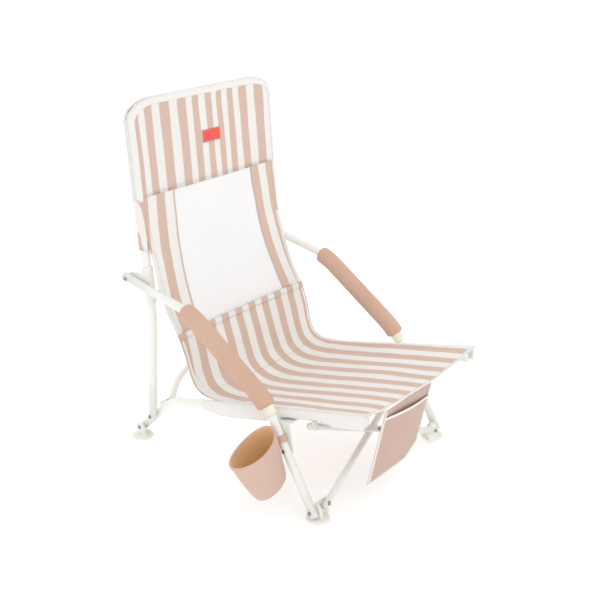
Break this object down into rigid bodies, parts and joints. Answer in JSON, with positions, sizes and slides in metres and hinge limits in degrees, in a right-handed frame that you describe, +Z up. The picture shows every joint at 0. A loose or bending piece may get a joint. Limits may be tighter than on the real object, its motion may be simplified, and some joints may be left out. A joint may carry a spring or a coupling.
{
  "type": "folding camp chair",
  "caption": "Low folding camp chair with a painted steel tube frame, scissor crosses, a striped cloth sling with a mesh back window, foam arm grips, a hanging cup holder and a front pocket.",
  "frame": {"origin": "on the floor, under the middle of the whole chair's box, cup holder included", "axes": "+Z up, -Y the way the chair faces, -X the sitter's right"},
  "size_m": [0.6016, 0.6488, 0.7659],
  "materials": {
    "frame": "satin off-white powder coat",
    "plastic": "moulded, low sheen",
    "collar": "moulded cream, low sheen",
    "foam": "closed-cell foam, matt skin",
    "rivet": "plated steel",
    "cloth": "woven polyester with white stripes",
    "mesh": "open warp-knit mesh",
    "pocket": "plain woven polyester, bound in white",
    "label": "plain woven patch, no text"
  },
  "bodies": {
    "upright_right": {"upright_right": "frame", "upright_plug_right": "plastic", "rail_rivet_right": "rivet", "headrest_panel": "cloth", "back_panel": "cloth", "mesh_window": "mesh", "label_patch": "label"},
    "rail_right": {"seat_rail_right": "frame", "rail_plug_right": "plastic", "foot_rivet_right": "rivet", "bracket_screw_right": "rivet", "seat_sling": "cloth", "front_pocket": "pocket"},
    "rear_foot_right": {"rear_foot_right": "plastic"},
    "hub_right": {"rail_hub_right": "plastic"},
    "cross_bracket_right": {"cross_bracket_right": "frame", "rear_cross_screw_right": "rivet"},
    "rear_cross_a": {"rear_cross_a": "frame", "rear_cross_rivet": "rivet"},
    "rear_cross_b": {"rear_cross_b": "frame", "rear_cross_screw_left": "rivet"},
    "slider_right": {"slider_right": "plastic", "arm_rivet_right": "rivet"},
    "arm_right": {"arm_leg_right": "frame", "arm_grip_right": "foam", "grip_collar_right": "collar", "leg_rivet_right": "rivet", "leg_saddle_right": "frame", "saddle_rivet_right": "rivet", "cup_holder": "pocket", "cup_strap": "pocket"},
    "front_foot_right": {"front_foot_right": "plastic", "front_cross_screw_right": "rivet"},
    "front_cross_a": {"front_cross_a": "frame", "front_cross_rivet": "rivet"},
    "front_cross_b": {"front_cross_b": "frame"},
    "front_foot_left": {"front_foot_left": "plastic", "front_cross_screw_left": "rivet"},
    "arm_left": {"arm_leg_left": "frame", "arm_grip_left": "foam", "grip_collar_left": "collar", "leg_rivet_left": "rivet", "leg_saddle_left": "frame", "saddle_rivet_left": "rivet"},
    "slider_left": {"slider_left": "plastic", "arm_rivet_left": "rivet"},
    "upright_left": {"upright_left": "frame", "upright_plug_left": "plastic", "rail_rivet_left": "rivet"},
    "rail_left": {"seat_rail_left": "frame", "rail_plug_left": "plastic", "foot_rivet_left": "rivet", "bracket_screw_left": "rivet"},
    "rear_foot_left": {"rear_foot_left": "plastic"},
    "hub_left": {"rail_hub_left": "plastic"},
    "cross_bracket_left": {"cross_bracket_left": "frame"}
  },
  "joints": [
    {"name": "fold", "type": "hinge", "parent": "upright_right", "child": "rail_right", "pos_m": [-0.13038, 0.25543, 0.0684], "axis": [-1, 0, 0], "range_deg": [0, 70], "deforming": ["headrest_panel", "back_panel", "mesh_window", "label_patch", "seat_sling", "front_pocket"]},
    {"name": "rear_foot_turn_right", "type": "hinge", "parent": "rail_right", "child": "rear_foot_right", "pos_m": [-0.13038, 0.30343, 0.022], "axis": [1, 0, 0], "range_deg": [0, 70.28]},
    {"name": "hub_slide_right", "type": "slide", "parent": "rail_right", "child": "hub_right", "axis": [0, 0.9711, -0.2385], "range_m": [0, 0.1799]},
    {"name": "bracket_turn_right", "type": "hinge", "parent": "rail_right", "child": "cross_bracket_right", "pos_m": [-0.13038, 0.23543, 0.0877], "axis": [1, 0, 0], "range_deg": [0, 73.67]},
    {"name": "rear_cross_foot", "type": "hinge", "parent": "cross_bracket_right", "child": "rear_cross_a", "pos_m": [-0.10238, 0.23543, 0.0877], "axis": [0, -0.9994, 0.034], "range_deg": [0, 43.84]},
    {"name": "rear_cross_centre", "type": "hinge", "parent": "rear_cross_a", "child": "rear_cross_b", "pos_m": [0.05562, 0.23993, 0.21985], "axis": [0, 0.9994, -0.034], "range_deg": [0, 87.68]},
    {"name": "slider_slide_right", "type": "slide", "parent": "upright_right", "child": "slider_right", "axis": [0, 0.0797, 0.9968], "range_m": [0, 0.1522]},
    {"name": "arm_swing_right", "type": "hinge", "parent": "slider_right", "child": "arm_right", "pos_m": [-0.17078, 0.28143, 0.396], "axis": [1, 0, 0], "range_deg": [0, 42.17]},
    {"name": "front_foot_turn_right", "type": "hinge", "parent": "arm_right", "child": "front_foot_right", "pos_m": [-0.17078, -0.21257, 0.022], "axis": [-1, 0, 0], "range_deg": [0, 33.62]},
    {"name": "front_cross_foot_right", "type": "hinge", "parent": "front_foot_right", "child": "front_cross_a", "pos_m": [-0.13238, -0.22557, 0.027], "axis": [0, -0.9459, 0.3245], "range_deg": [0, 51.74]},
    {"name": "front_cross_centre", "type": "hinge", "parent": "front_cross_a", "child": "front_cross_b", "pos_m": [0.05562, -0.19907, 0.10425], "axis": [0, 0.9459, -0.3245], "range_deg": [0, 103.48]},
    {"name": "front_cross_foot_left", "type": "hinge", "parent": "front_cross_b", "child": "front_foot_left", "pos_m": [0.24362, -0.22557, 0.027], "axis": [0, -0.9459, 0.3245], "range_deg": [0, 51.74]},
    {"name": "front_foot_turn_left", "type": "hinge", "parent": "front_foot_left", "child": "arm_left", "pos_m": [0.28202, -0.21257, 0.022], "axis": [1, 0, 0], "range_deg": [0, 33.62]},
    {"name": "arm_swing_left", "type": "hinge", "parent": "arm_left", "child": "slider_left", "pos_m": [0.28202, 0.28143, 0.396], "axis": [-1, 0, 0], "range_deg": [0, 42.17]},
    {"name": "slider_slide_left", "type": "slide", "parent": "slider_left", "child": "upright_left", "axis": [0, -0.0797, -0.9968], "range_m": [0, 0.1522]},
    {"name": "rail_swing_left", "type": "hinge", "parent": "upright_left", "child": "rail_left", "pos_m": [0.24162, 0.25543, 0.0684], "axis": [-1, 0, 0], "range_deg": [0, 70.28]},
    {"name": "rear_foot_turn_left", "type": "hinge", "parent": "rail_left", "child": "rear_foot_left", "pos_m": [0.24162, 0.30343, 0.022], "axis": [1, 0, 0], "range_deg": [0, 70.28]},
    {"name": "hub_slide_left", "type": "slide", "parent": "rail_left", "child": "hub_left", "axis": [0, 0.9711, -0.2385], "range_m": [0, 0.1638]},
    {"name": "bracket_turn_left", "type": "hinge", "parent": "rail_left", "child": "cross_bracket_left", "pos_m": [0.24162, 0.23543, 0.0877], "axis": [1, 0, 0], "range_deg": [0, 73.67]}
  ],
  "couplings": [
    {"joint": "rear_foot_turn_right", "follows": "fold", "ratio": 1},
    {"joint": "hub_slide_right", "follows": "fold", "m_per_rad": 0.14664},
    {"joint": "bracket_turn_right", "follows": "fold", "ratio": 1.0483},
    {"joint": "rear_cross_foot", "follows": "fold", "ratio": 0.62379},
    {"joint": "rear_cross_centre", "follows": "fold", "ratio": 1.2476},
    {"joint": "slider_slide_right", "follows": "fold", "m_per_rad": 0.12411},
    {"joint": "arm_swing_right", "follows": "fold", "ratio": 0.6},
    {"joint": "front_foot_turn_right", "follows": "fold", "ratio": 0.47835},
    {"joint": "front_cross_foot_right", "follows": "fold", "ratio": 0.7362},
    {"joint": "front_cross_centre", "follows": "fold", "ratio": 1.4724},
    {"joint": "front_cross_foot_left", "follows": "fold", "ratio": 0.7362},
    {"joint": "front_foot_turn_left", "follows": "fold", "ratio": 0.47835},
    {"joint": "arm_swing_left", "follows": "fold", "ratio": 0.6},
    {"joint": "slider_slide_left", "follows": "fold", "m_per_rad": 0.12411},
    {"joint": "rail_swing_left", "follows": "fold", "ratio": 1},
    {"joint": "rear_foot_turn_left", "follows": "fold", "ratio": 1},
    {"joint": "hub_slide_left", "follows": "fold", "m_per_rad": 0.13355},
    {"joint": "bracket_turn_left", "follows": "fold", "ratio": 1.0483}
  ]
}
